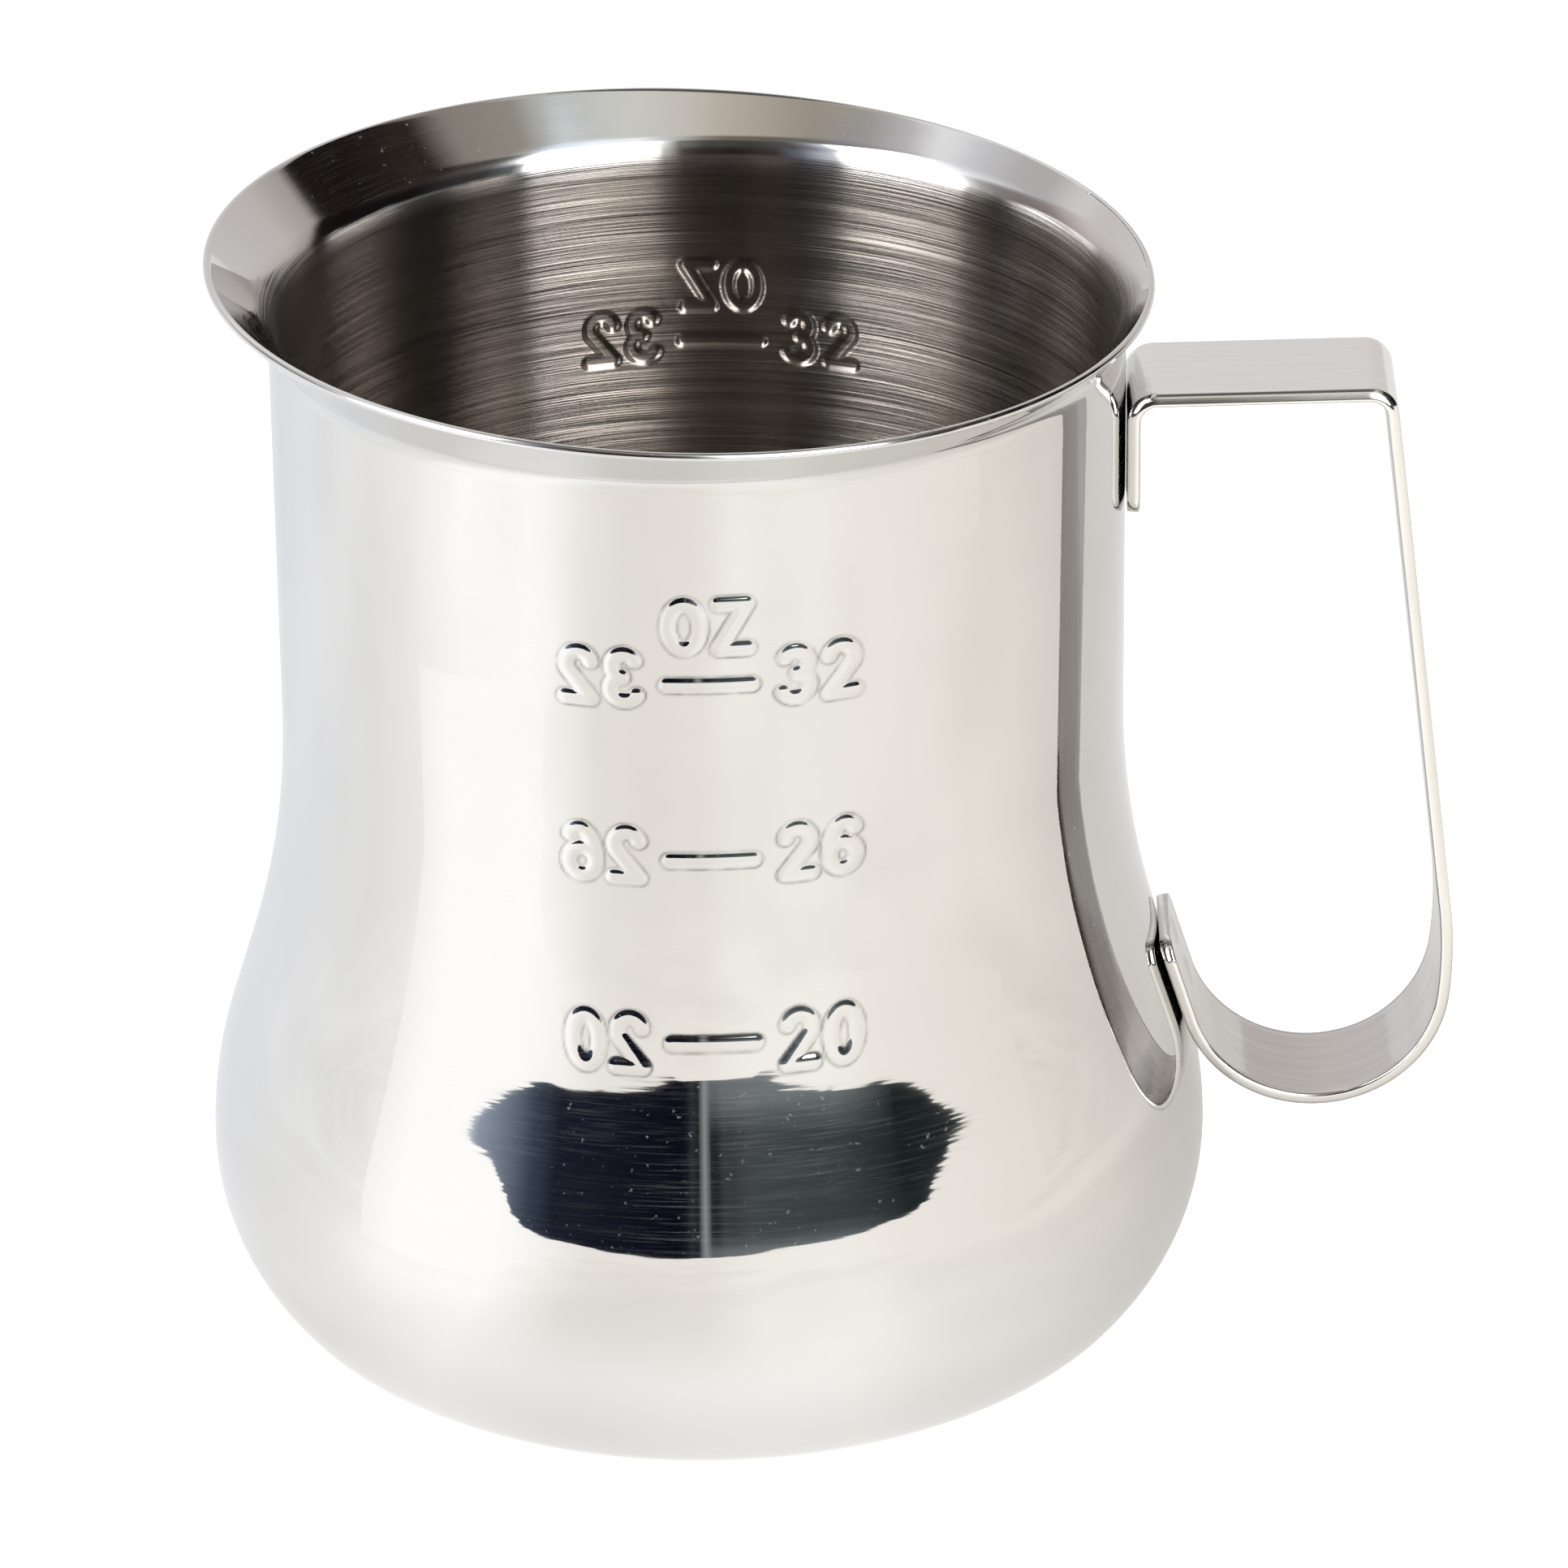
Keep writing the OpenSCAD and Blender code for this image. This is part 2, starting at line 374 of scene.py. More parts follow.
# Spacing of the vessel's grid, away from the stamping and on it
COLUMN_SPACING = (2.2, 0.28)  # degrees
ROW_SPACING = (1.6, 0.24)
MARK_HALF = 19.5  # half the stamping's width
MARK_BANDS = [(53.0, 63.0), (76.0, 87.0), (99.0, 116.0)]  # heights
COLUMN_FADE, ROW_FADE = 14.0, 8.0  # how far off the spacing is wide again
# The stamp bites only half as deep where the wall turns under its foot
BITE_LEAST = 0.5
BITE_HEIGHTS = (62.0, 76.0)


def vessel_mesh(polished, brushed):
    """The whole vessel as one skin: outside, lip, rounded edge, inside and floor."""

    def column_spacing(angle):
        across = NECK_RADIUS * np.cos(angle) - MARK_CENTRE
        near = 1 - ease(np.abs(across), MARK_HALF, MARK_HALF + COLUMN_FADE)
        return (COLUMN_SPACING[0] - (COLUMN_SPACING[0] - COLUMN_SPACING[1]) * near) * DEG

    azimuth = spread(0, 2 * math.pi, column_spacing)[:-1]
    ca, sa = np.cos(azimuth), np.sin(azimuth)

    def height_of(run):
        return profile_at(run)[0][:, 1]

    def row_spacing(run):
        z = height_of(run)
        near = np.zeros_like(z)
        for low, high in MARK_BANDS:
            band = ease(z, low - ROW_FADE, low) * (1 - ease(z, high, high + ROW_FADE))
            near = np.maximum(near, band)
        return ROW_SPACING[0] - (ROW_SPACING[0] - ROW_SPACING[1]) * near

    runs = spread(0, PROFILE_LENGTH, row_spacing)
    points, normals = profile_at(runs)
    ring = np.stack([ca, sa], -1)

    x = points[:, 0, None] * ca - MARK_CENTRE
    across = np.where(sa < 0, x, -x)
    height = np.broadcast_to(points[:, 1, None], across.shape)
    distance = stroke_distance(across, height)
    depth = BITE_LEAST + (1 - BITE_LEAST) * ease(height, *BITE_HEIGHTS)
    dish = fall(distance, DISH)
    # The line round each stroke's foot, which the polished material darkens as painted shade and
    # makes rougher
    crease = np.exp(-(((distance - STROKE_FOOT) / CREASE) ** 2))

    def skin(inset, lift):
        off = lift - inset
        radius = points[:, 0, None] + normals[:, 0, None] * off
        z = points[:, 1, None] + normals[:, 1, None] * off
        return np.concatenate([radius[..., None] * ring, z[..., None]], 2)

    outer = skin(0, dish + depth * fall(distance, STROKE_OUTSIDE))
    inner = skin(WALL, dish + depth * fall(distance, STROKE_INSIDE))
    outer_lip = lip_curve(azimuth, 0)
    inner_lip = lip_curve(azimuth, WALL)

    # The edge of the sheet is rounded: both sides stop short and an arc joins them
    direction = outer_lip[-1] - outer_lip[-2]
    direction /= np.linalg.norm(direction, axis=1)[:, None]
    outer_lip[-1] -= direction * EDGE_ROUND
    inner_lip[-1] -= direction * EDGE_ROUND
    middle, half = (outer_lip[-1] + inner_lip[-1]) / 2, (outer_lip[-1] - inner_lip[-1]) / 2
    edge = np.array(
        [
            middle + half * math.cos(t) + direction * EDGE_ROUND * math.sin(t)
            for t in np.linspace(0, math.pi, 11)[1:-1]
        ]
    )

    # Down the inside, with one row along the line where the polish stops
    blend_from = 7
    down = np.concatenate([inner_lip[::-1], inner[::-1][:blend_from]])
    off_plane = np.abs(NECK_RADIUS * sa)
    reach = POLISH_DROP + off_plane * (POLISH_SLOPE - POLISH_LEVELLING * off_plane)
    limit = LIP_HEIGHT - reach
    above, below = 22, 10

    def lengths_of(column, along, curve):
        stop = np.interp(-limit[column], -curve[:, 2], along)
        return np.concatenate(
            [np.linspace(0, stop, above, endpoint=False), np.linspace(stop, along[-1], below)]
        )

    down = resample(down, lengths_of)
    rows = np.concatenate([outer, outer_lip, edge, down, inner[::-1][blend_from:]])
    polish_rows = len(outer) + len(outer_lip) + len(edge) + above

    # Discs for the base and the floor, as rings that shrink to their middles
    shrink = [0.8, 0.6, 0.4, 0.2, 0.05]
    base = np.array([rows[0] * [k, k, 1] for k in shrink[::-1]])
    floor = np.array([rows[-1] * [k, k, 1] for k in shrink])
    polish_rows += len(base)
    rows = np.concatenate([base, rows, floor])
    count, width = rows.shape[:2]
    vertices = rows.reshape(-1, 3)
    ends = [[0, 0, rows[0, 0, 2]], [0, 0, rows[-1, 0, 2]]]
    vertices = np.concatenate([vertices, ends])
    faces = grid_faces(count, width)
    slots = np.repeat(np.arange(count - 1) >= polish_rows, width).astype(int).tolist()
    middle_of_base, middle_of_floor = count * width, count * width + 1
    i = np.arange(width)
    j = (i + 1) % width
    top = (count - 1) * width
    faces += np.stack([np.full(width, middle_of_base), j, i], 1).tolist()
    faces += np.stack([np.full(width, middle_of_floor), top + i, top + j], 1).tolist()
    slots += [0] * width + [1] * width
    shell = make_mesh("vessel_shell", vertices, faces, [polished, brushed], slots)
    store(shell, "crease", crease, len(base) * width)
    pressed = fall(distance, PRESSED)[::-1][blend_from:]
    store(shell, "pressed", pressed, (count - len(floor)) * width - pressed.size)
    return shell


# ---------------------------------------------------------------- handle

EDGE = 0.42  # rounding of the strip's long edges
# Spacing of the sections along the strip: plain, in tight bends, on the tabs, at the ends
PLAIN_SPACING, BEND_SPACING, TAB_SPACING, END_SPACING = 1.2, 0.3, 0.36, 0.08
END_ZONE = 0.7
TIGHT = 5.0  # bends below this radius are tight
DENT_DEPTH = 0.16
DENT_FLAT = 1.5
DENT_RADIUS = 2.4
DENT_ZONE = 3.0  # half of the strip's middle that is fine enough to carry the dents


def strip_path():
    """The strip's middle line in the XZ plane as pieces: (start, heading, length, radius)."""
    centre_bend = TIGHT_BEND + STRIP_THICKNESS / 2
    half = STRIP_THICKNESS / 2
    tab_heading = math.pi / 2 + FLANK_ANGLE
    grip_heading = GRIP_LEAN - math.pi / 2
    return_heading = grip_heading - SLOW_TURN

    def run(p, heading, length):
        return p + length * np.array([math.cos(heading), math.sin(heading)])

    def bend(p, heading, radius, turn):
        return p + radius * np.array(
            [
                math.sin(heading) - math.sin(heading - turn),
                math.cos(heading - turn) - math.cos(heading),
            ]
        )

    upper = np.array([NECK_RADIUS + CLEARANCE + half, HANDLE_TOP - half - centre_bend])
    off_wall = (CLEARANCE + half) * np.array([math.cos(FLANK_ANGLE), math.sin(FLANK_ANGLE)])
    meet_radius = FLANK_FOOT[0] - (TAB_MEET - FLANK_FOOT[1]) * math.tan(FLANK_ANGLE)
    tab = np.array([meet_radius, TAB_MEET]) + off_wall
    top_turn = math.pi / 2 - TOP_RISE
    top = bend(upper, math.pi / 2, centre_bend, top_turn)
    corner = run(top, TOP_RISE, TOP_RUN)
    grip = bend(corner, TOP_RISE, centre_bend, TOP_RISE - grip_heading)
    return_turn = return_heading + 2 * math.pi - tab_heading
    zero = np.zeros(2)
    left = tab - grip - bend(zero, grip_heading, SLOW_BEND, SLOW_TURN)
    ways = np.stack([run(zero, grip_heading, 1), bend(zero, return_heading, 1, return_turn)], 1)
    grip_length, return_radius = np.linalg.solve(ways, left)
    slow = run(grip, grip_heading, grip_length)
    back = bend(slow, grip_heading, SLOW_BEND, SLOW_TURN)
    foot = np.array([upper[0], TAB_FOOT])
    return [
        (foot, math.pi / 2, upper[1] - TAB_FOOT, None),
        (upper, math.pi / 2, top_turn * centre_bend, centre_bend),
        (top, TOP_RISE, TOP_RUN, None),
        (corner, TOP_RISE, (TOP_RISE - grip_heading) * centre_bend, centre_bend),
        (grip, grip_heading, grip_length, None),
        (slow, grip_heading, SLOW_TURN * SLOW_BEND, SLOW_BEND),
        (back, return_heading, return_turn * return_radius, return_radius),
        (tab, tab_heading, (TAB_TOP - TAB_MEET) / math.cos(FLANK_ANGLE), None),
    ]


PATH = strip_path()
PATH_LENGTH = sum(piece[2] for piece in PATH)


def on_path(run):
    """The point and heading at a length along the strip."""
    for k, (start, heading, length, radius) in enumerate(PATH):
        if run <= length or k == len(PATH) - 1:
            break
        run -= length
    if radius is None:
        return start + run * np.array([math.cos(heading), math.sin(heading)]), heading
    now = heading - run / radius
    centre = start + radius * np.array([math.sin(heading), -math.cos(heading)])
    return centre + radius * np.array([-math.sin(now), math.cos(now)]), now


def weld_runs():
    """Lengths along the strip at which its four welds sit."""
    upper, lower = PATH[0][2], PATH[-1][2]
    places = []
    for tab_start, length in ((0, upper), (PATH_LENGTH - lower, lower)):
        first = tab_start + (length - WELD_PITCH) / 2
        places += [first, first + WELD_PITCH]
    return places


def strip_section(half_width, half_thickness, edge):
    """Points around the strip's section, [across, out], with more of them near the middle."""
    flat = half_width - edge
    middle = np.linspace(-DENT_ZONE, DENT_ZONE, 25)
    side = np.linspace(DENT_ZONE + 0.2, flat, 6)
    across = np.concatenate([-side[::-1], middle, side])
    quarter = np.linspace(0, math.pi / 2, 6)[1:-1]
    inner = half_thickness - edge
    right = np.stack([flat + edge * np.sin(quarter), inner + edge * np.cos(quarter)], 1)
    top = np.stack([across, np.full(across.shape, half_thickness)], 1)
    side_top = np.array([[half_width, inner]])
    upper_half = np.concatenate([top, right, side_top])
    return np.concatenate([upper_half, -upper_half])


def handle_mesh(material):
    """The bent strip, swept along its path, with rounded tabs and the welding tips' dents."""
    tab_length = max(PATH[0][2], PATH[-1][2]) + 2

    def spacing(run):
        from_end = np.minimum(run, PATH_LENGTH - run)
        gap = np.full(run.shape, PLAIN_SPACING)
        start = 0.0
        for _, _, length, radius in PATH:
            if radius is not None and radius < TIGHT:
                inside = (run > start - 0.5) & (run < start + length + 0.5)
                gap = np.where(inside, BEND_SPACING, gap)
            start += length
        gap = np.where(from_end < tab_length, TAB_SPACING, gap)
        return np.where(from_end < END_ZONE, END_SPACING, gap)

    runs = spread(0, PATH_LENGTH, spacing)
    welds = weld_runs()
    half_t, rows = STRIP_THICKNESS / 2, []
    for run in runs:
        from_end = min(run, PATH_LENGTH - run)
        round_in = max(0.0, TAB_CORNER - from_end)
        half_w = STRIP_WIDTH / 2 - TAB_CORNER + math.sqrt(max(0, TAB_CORNER**2 - round_in**2))
        edge_in = max(0.0, EDGE - from_end)
        half = half_t - EDGE + math.sqrt(max(0, EDGE**2 - edge_in**2))
        edge = min(EDGE, half * 0.99)
        section = strip_section(half_w, half, edge)
        across, out = section[:, 0], section[:, 1].copy()
        for weld in welds:
            if abs(run - weld) < DENT_RADIUS:
                away = np.hypot(across, run - weld)
                dent = DENT_DEPTH * (1 - ease(away, DENT_FLAT, DENT_RADIUS))
                out = np.where(out < 0, out + dent, out)
        point, heading = on_path(run)
        normal = np.array([-math.sin(heading), math.cos(heading)])
        place = point + out[:, None] * normal
        rows.append(np.stack([place[:, 0], across, place[:, 1]], 1))
    rows = np.array(rows)
    count, width = rows.shape[:2]
    faces = [[a, d, c, b] for a, b, c, d in grid_faces(count, width)]
    faces.append(list(range(width)))
    faces.append([(count - 1) * width + k for k in range(width)][::-1])
    handle_strip = make_mesh("handle_strip", rows.reshape(-1, 3), faces, [material])
    # Marks the faces turned into the handle's loop, which the handle's material paints darker as
    # painted shade
    inward = np.tile(strip_section(STRIP_WIDTH / 2, half_t, EDGE)[:, 1] < -half_t * 0.9, count)
    store(handle_strip, "inward", inward)
    return handle_strip


MARK_RINGS = [0.35, 0.7, 1.0, 1.25, 1.45, 1.6, 1.7]  # radii, the last one under the strip
MARK_LIFT, MARK_RIM, MARK_SINK = 0.01, 0.07, 0.03  # off the dent's floor


def weld_mesh(material):
    """The four weld marks: shallow dishes with a soft rim, in the strip's dents."""
    steps = 48
    points, faces = [], []
    for run in weld_runs():
        centre, heading = on_path(run)
        way = np.array([math.cos(heading), 0, math.sin(heading)])
        out = np.array([math.sin(heading), 0, -math.cos(heading)])
        side = np.array([0, 1, 0])
        origin = np.array([centre[0], 0, centre[1]])
        first = len(points)
        lift = STRIP_THICKNESS / 2 - DENT_DEPTH
        points.append(origin + out * (lift + MARK_LIFT))
        for radius in MARK_RINGS:
            height = lift + MARK_LIFT + MARK_RIM * (radius / MARK_RINGS[-2]) ** 3
            if radius == MARK_RINGS[-1]:
                height = lift - MARK_SINK
            for k in range(steps):
                a = 2 * math.pi * k / steps
                points.append(
                    origin + out * height + radius * (math.cos(a) * way + math.sin(a) * side)
                )
        for k in range(steps):
            n = (k + 1) % steps
            faces.append([first, first + 1 + n, first + 1 + k])
            for r in range(len(MARK_RINGS) - 1):
                a, b = first + 1 + r * steps, first + 1 + (r + 1) * steps
                faces.append([a + k, a + n, b + n, b + k])
        rim = first + 1 + (len(MARK_RINGS) - 1) * steps
        faces.append([rim + k for k in range(steps)])
    return make_mesh("weld_marks", points, faces, [material])


# ---------------------------------------------------------------- materials


def add(tree, kind, **settings):
    """A new node with the given settings."""
    node = tree.nodes.new(kind)
    for name, value in settings.items():
        setattr(node, name, value)
    return node


def plug(tree, socket, value):
    """Sets an input from a socket or from a plain value."""
    if isinstance(value, bpy.types.NodeSocket):
        tree.links.new(value, socket)
    else:
        socket.default_value = value


def maths(tree, operation, a, b=None):
    """A Math node whose inputs are sockets or numbers."""
    node = add(tree, "ShaderNodeMath", operation=operation)
    for socket, value in zip(node.inputs, (a, b)):
        if value is not None:
            plug(tree, socket, value)
    return node.outputs[0]


def vectors(tree, operation, a, b=None):
    """A Vector Math node whose inputs are sockets, vectors or, to scale by, a number."""
    node = add(tree, "ShaderNodeVectorMath", operation=operation)
    plug(tree, node.inputs[0], a)
    if operation == "SCALE":
        plug(tree, node.inputs["Scale"], b)
    elif b is not None:
        plug(tree, node.inputs[1], b)
    return node.outputs[0]


def combined(tree, x, y, z):
    """A vector from its parts."""
    node = add(tree, "ShaderNodeCombineXYZ")
    for socket, value in zip(node.inputs, (x, y, z)):
        plug(tree, socket, value)
    return node.outputs[0]


def remap(tree, value, from_range, to_range, kind="LINEAR"):
    """A value moved from one range into another, and held inside it."""
    node = add(tree, "ShaderNodeMapRange", interpolation_type=kind)
    plug(tree, node.inputs["Value"], value)
    for name, limit in zip(("From Min", "From Max", "To Min", "To Max"), (*from_range, *to_range)):
        plug(tree, node.inputs[name], limit)
    return node.outputs["Result"]


def soft_step(tree, value, start, end, limits=(0.0, 1.0)):
    """A smooth change between two limits as a length in metres passes two in millimetres."""
    return remap(tree, value, (start * MM, end * MM), limits, "SMOOTHSTEP")


def noise(tree, vector, scale, detail, roughness=0.5):
    """A noise from 0 to 1 over a vector in metres, with so many grains to the metre."""
    node = add(tree, "ShaderNodeTexNoise")
    tree.links.new(vector, node.inputs["Vector"])
    node.inputs["Scale"].default_value = scale
    node.inputs["Detail"].default_value = detail
    node.inputs["Roughness"].default_value = roughness
    return node.outputs["Fac"]


def mix_colours(tree, factor, low, high):
    """A mix of two colours, each a socket or red, green and blue."""
    node = add(tree, "ShaderNodeMix", data_type="RGBA")
    plug(tree, node.inputs["Factor"], factor)
    for name, colour in (("A", low), ("B", high)):
        if not isinstance(colour, bpy.types.NodeSocket):
            colour = (*colour, 1)
        plug(tree, node.inputs[name], colour)
    return node.outputs["Result"]


def new_material(name):
    """A material, its node tree and its shader."""
    material = bpy.data.materials.new(name)
    material.use_nodes = True
    tree = material.node_tree
    return material, tree, tree.nodes["Principled BSDF"]


def new_steel(name):
    """A metal, its node tree and its shader."""
    material, tree, shader = new_material(name)
    shader.inputs["Metallic"].default_value = 1
    return material, tree, shader


def place_on_object(tree):
    """The point on the object, and its parts x, y and z, in metres."""
    place = add(tree, "ShaderNodeTexCoord").outputs["Object"]
    apart = add(tree, "ShaderNodeSeparateXYZ")
    tree.links.new(place, apart.inputs[0])
    return place, apart.outputs["X"], apart.outputs["Y"], apart.outputs["Z"]


def stored(tree, name):
    """A number that store() kept for each point of the mesh."""
    return add(tree, "ShaderNodeAttribute", attribute_name=name).outputs["Fac"]


def off_axis(tree, x, y):
    """The way from the axis to a point, as a level vector, and its length."""
    flat = combined(tree, x, y, 0.0)
    node = add(tree, "ShaderNodeVectorMath", operation="LENGTH")
    tree.links.new(flat, node.inputs[0])
    return flat, node.outputs["Value"]


def turned_streaks(tree, length, width, detail):
    """Streaks that run round the vessel's axis: their mean length and width in millimetres."""
    _, x, y, z = place_on_object(tree)
    _, radius = off_axis(tree, x, y)
    along_profile = maths(tree, "ADD", z, radius)
    stretched = maths(tree, "MULTIPLY", along_profile, length / width)
    spot = combined(tree, x, y, stretched)
    return noise(tree, spot, 1 / (length * MM), detail)


def lean(tree, direction, amount):
    """The surface's normal, tipped towards a direction by an amount."""
    normal = add(tree, "ShaderNodeNewGeometry").outputs["Normal"]
    tip = vectors(tree, "SCALE", direction, amount)
    return vectors(tree, "NORMALIZE", vectors(tree, "ADD", normal, tip))


def up_the_profile(tree):
    """The direction along the surface that points straight up the vessel's profile."""
    _, x, y, _ = place_on_object(tree)
    normal = add(tree, "ShaderNodeNewGeometry").outputs["Normal"]
    round_axis = combined(tree, maths(tree, "MULTIPLY", y, -1.0), x, 0.0)
    across = vectors(tree, "CROSS_PRODUCT", normal, round_axis)
    return vectors(tree, "NORMALIZE", across)


def swing(tree, value, amount):
    """A noise value from 0 to 1, turned into a number either side of 0."""
    return maths(tree, "MULTIPLY", maths(tree, "SUBTRACT", value, 0.5), amount)


POLISHED_COLOUR = (0.70, 0.69, 0.68)  # these two for the polish above the brushing
POLISHED_ROUGHNESS = 0.03
HAIRLINE_SCATTER = 0.09  # share of the light that hairlines and specks scatter
SPECK_SCATTER = 0.22


def polished_steel():
    """Mirror polish with the faint turning marks, painted shade along the crease lines round the
    stamping, and specks of real use.
    """
    material, tree, shader = new_steel("polished_steel")
    place, *_ = place_on_object(tree)
    fine = turned_streaks(tree, 7, 0.3, 4)
    broad = turned_streaks(tree, 30, 1.6, 2)
    tip = maths(tree, "ADD", swing(tree, fine, 0.018), swing(tree, broad, 0.012))
    tree.links.new(lean(tree, up_the_profile(tree), tip), shader.inputs["Normal"])

    # Painted shade: the base colour goes dark, in patches, along the line round each stroke's foot
    crease = stored(tree, "crease")
    cloud = noise(tree, place, 30, 3)
    shade = remap(tree, cloud, (0.3, 0.7), (0.0, 1.0))
    unshaded = mix_colours(tree, shade, (0.685, 0.68, 0.673), (0.715, 0.71, 0.706))
    mottle_and_shade = remap(tree, noise(tree, place, 350, 2), (0.35, 0.65), (0.2, 0.8))
    painted_shade = maths(tree, "MULTIPLY", crease, mottle_and_shade)
    colour = mix_colours(tree, painted_shade, unshaded, (0.2, 0.19, 0.18))
    tree.links.new(colour, shader.inputs["Base Color"])

    streaked = remap(tree, fine, (0.3, 0.75), (0.02, 0.05))
    rough = maths(tree, "ADD", streaked, maths(tree, "MULTIPLY", crease, 0.15))
    tree.links.new(rough, shader.inputs["Roughness"])

    # Hairlines and specks scatter a little light, which shows where the reflection is dark
    lines = remap(tree, turned_streaks(tree, 9, 0.12, 3), (0.5, 0.72), (0.0, 1.0))
    patchy = remap(tree, noise(tree, place, 60, 3), (0.4, 0.65), (0.25, 1.0))
    lines = maths(tree, "MULTIPLY", lines, patchy)
    specks = remap(tree, noise(tree, place, 1400, 2), (0.69, 0.75), (0.0, 1.0))
    from_lines = maths(tree, "MULTIPLY", lines, HAIRLINE_SCATTER)
    from_specks = maths(tree, "MULTIPLY", specks, SPECK_SCATTER)
    scattering = maths(tree, "ADD", from_lines, from_specks)
    tree.links.new(maths(tree, "SUBTRACT", 1.0, scattering), shader.inputs["Metallic"])
    return material


BELLY_SHADED, NECK_UNSHADED = 55.0, 80.0  # heights between which painted shade darkens the inside's colour towards the belly
BELLY_SHARE = 0.6  # of the colour, left down there by the painted shade
DEEP, SHALLOW = 100.0, 127.0  # heights between which the brushed colour is painted darker upwards: painted light lower down, painted shade towards the lip
DEEP_SHARE, SHALLOW_SHARE = 1.4, 0.8
POLISH_FADE = 4.5  # height over which the polish gives way to the brushing
PRESSED_BRUSHING = 0.3  # how much of the brushing is left where the punch smoothed it


def brushed_steel():
    """Brushed round and round, from under the polished lip down to the floor, with painted light
    and shade by height.
    """
    material, tree, shader = new_steel("brushed_inside")
    place, _, y, z = place_on_object(tree)
    off_plane = maths(tree, "ABSOLUTE", y)
    slope = maths(tree, "MULTIPLY", off_plane, POLISH_LEVELLING / MM)
    slope = maths(tree, "SUBTRACT", slope, POLISH_SLOPE)
    limit = maths(tree, "MULTIPLY", off_plane, slope)
    limit = maths(tree, "ADD", limit, (LIP_HEIGHT - POLISH_DROP) * MM)
    below = maths(tree, "SUBTRACT", limit, z)
    brushing = soft_step(tree, below, 0.0, POLISH_FADE)

    hair = turned_streaks(tree, 30, 0.025, 1)
    fine = turned_streaks(tree, 60, 0.3, 3)
    broad = turned_streaks(tree, 80, 1.5, 2)
    tip = maths(tree, "ADD", swing(tree, hair, 2.3), swing(tree, fine, 0.06))
    tip = maths(tree, "MULTIPLY", tip, brushing)
    pressed = stored(tree, "pressed")
    kept = remap(tree, pressed, (0.0, 1.0), (1.0, PRESSED_BRUSHING))
    tip = maths(tree, "MULTIPLY", tip, kept)
    tree.links.new(lean(tree, up_the_profile(tree), tip), shader.inputs["Normal"])

    shade = remap(tree, fine, (0.3, 0.7), (0.0, 1.0))
    streaked = mix_colours(tree, shade, (0.315, 0.29, 0.26), (0.385, 0.355, 0.32))
    cloud = remap(tree, broad, (0.3, 0.7), (0.0, 0.4))
    mottle_and_shade = mix_colours(tree, cloud, streaked, (0.30, 0.27, 0.25))
    # Painted light and shade: the colour is raised lower down, lowered towards the lip and
    # darkened in the belly, evening out how the light falls inside
    depth = remap(tree, z, (DEEP * MM, SHALLOW * MM), (DEEP_SHARE, SHALLOW_SHARE))
    mottle_and_shade = vectors(tree, "SCALE", mottle_and_shade, depth)
    painted_belly_shade = soft_step(tree, z, BELLY_SHADED, NECK_UNSHADED, (BELLY_SHARE, 1.0))
    mottle_and_shade = vectors(tree, "SCALE", mottle_and_shade, painted_belly_shade)
    colour = mix_colours(tree, brushing, POLISHED_COLOUR, mottle_and_shade)
    tree.links.new(colour, shader.inputs["Base Color"])

    brushed_rough = remap(tree, fine, (0.3, 0.7), (0.2, 0.26))
    spread_rough = maths(tree, "SUBTRACT", brushed_rough, POLISHED_ROUGHNESS)
    spread_rough = maths(tree, "MULTIPLY", spread_rough, brushing)
    rough = maths(tree, "ADD", spread_rough, POLISHED_ROUGHNESS)
    tree.links.new(rough, shader.inputs["Roughness"])
    shader.inputs["Anisotropic"].default_value = 1.0
    shader.inputs["Anisotropic Rotation"].default_value = 0.25
    return material


def strip_steel():
    """The handle's polish, with fine lines along the strip, soft smudges and painted shade on the
    faces turned into its loop.
    """
    material, tree, shader = new_steel("handle_polish")
    place, x, y, z = place_on_object(tree)
    across = maths(tree, "MULTIPLY", y, 30.0)
    lines = noise(tree, combined(tree, x, across, z), 60, 3)
    normal = lean(tree, (0.0, 1.0, 0.0), swing(tree, lines, 0.05))
    tree.links.new(normal, shader.inputs["Normal"])
    smudge = noise(tree, place, 90, 3)
    shade = remap(tree, lines, (0.3, 0.7), (0.0, 1.0))
    bright = mix_colours(tree, shade, (0.83, 0.82, 0.80), (0.88, 0.87, 0.855))
    # Painted shade: a darker copy of the colour for the faces turned into the handle's loop
    painted_shade = mix_colours(tree, shade, (0.56, 0.53, 0.51), (0.64, 0.61, 0.59))
    inward = stored(tree, "inward")
    colour = mix_colours(tree, inward, bright, painted_shade)
    tree.links.new(colour, shader.inputs["Base Color"])
    rough = remap(tree, smudge, (0.35, 0.75), (0.09, 0.17))
    tree.links.new(rough, shader.inputs["Roughness"])
    return material


def weld_steel():
    """Metal that the welding tips melted and pressed: duller, mottled and faintly tinted."""
    material, tree, shader = new_steel("weld_polish")
    place, *_ = place_on_object(tree)
    grain = noise(tree, place, 1800, 4, 0.6)
    bump = add(tree, "ShaderNodeBump")
    bump.inputs["Strength"].default_value = 0.5
    bump.inputs["Distance"].default_value = 0.02 * MM
    tree.links.new(grain, bump.inputs["Height"])
    tree.links.new(bump.outputs[0], shader.inputs["Normal"])
    tint = remap(tree, noise(tree, place, 500, 2), (0.35, 0.65), (0.0, 1.0))
    colour = mix_colours(tree, tint, (0.68, 0.64, 0.58), (0.66, 0.67, 0.69))
    tree.links.new(colour, shader.inputs["Base Color"])
    rough = remap(tree, grain, (0.3, 0.7), (0.16, 0.32))
    tree.links.new(rough, shader.inputs["Roughness"])
    return material


polished = polished_steel()
brushed = brushed_steel()
strip = strip_steel()
weld = weld_steel()

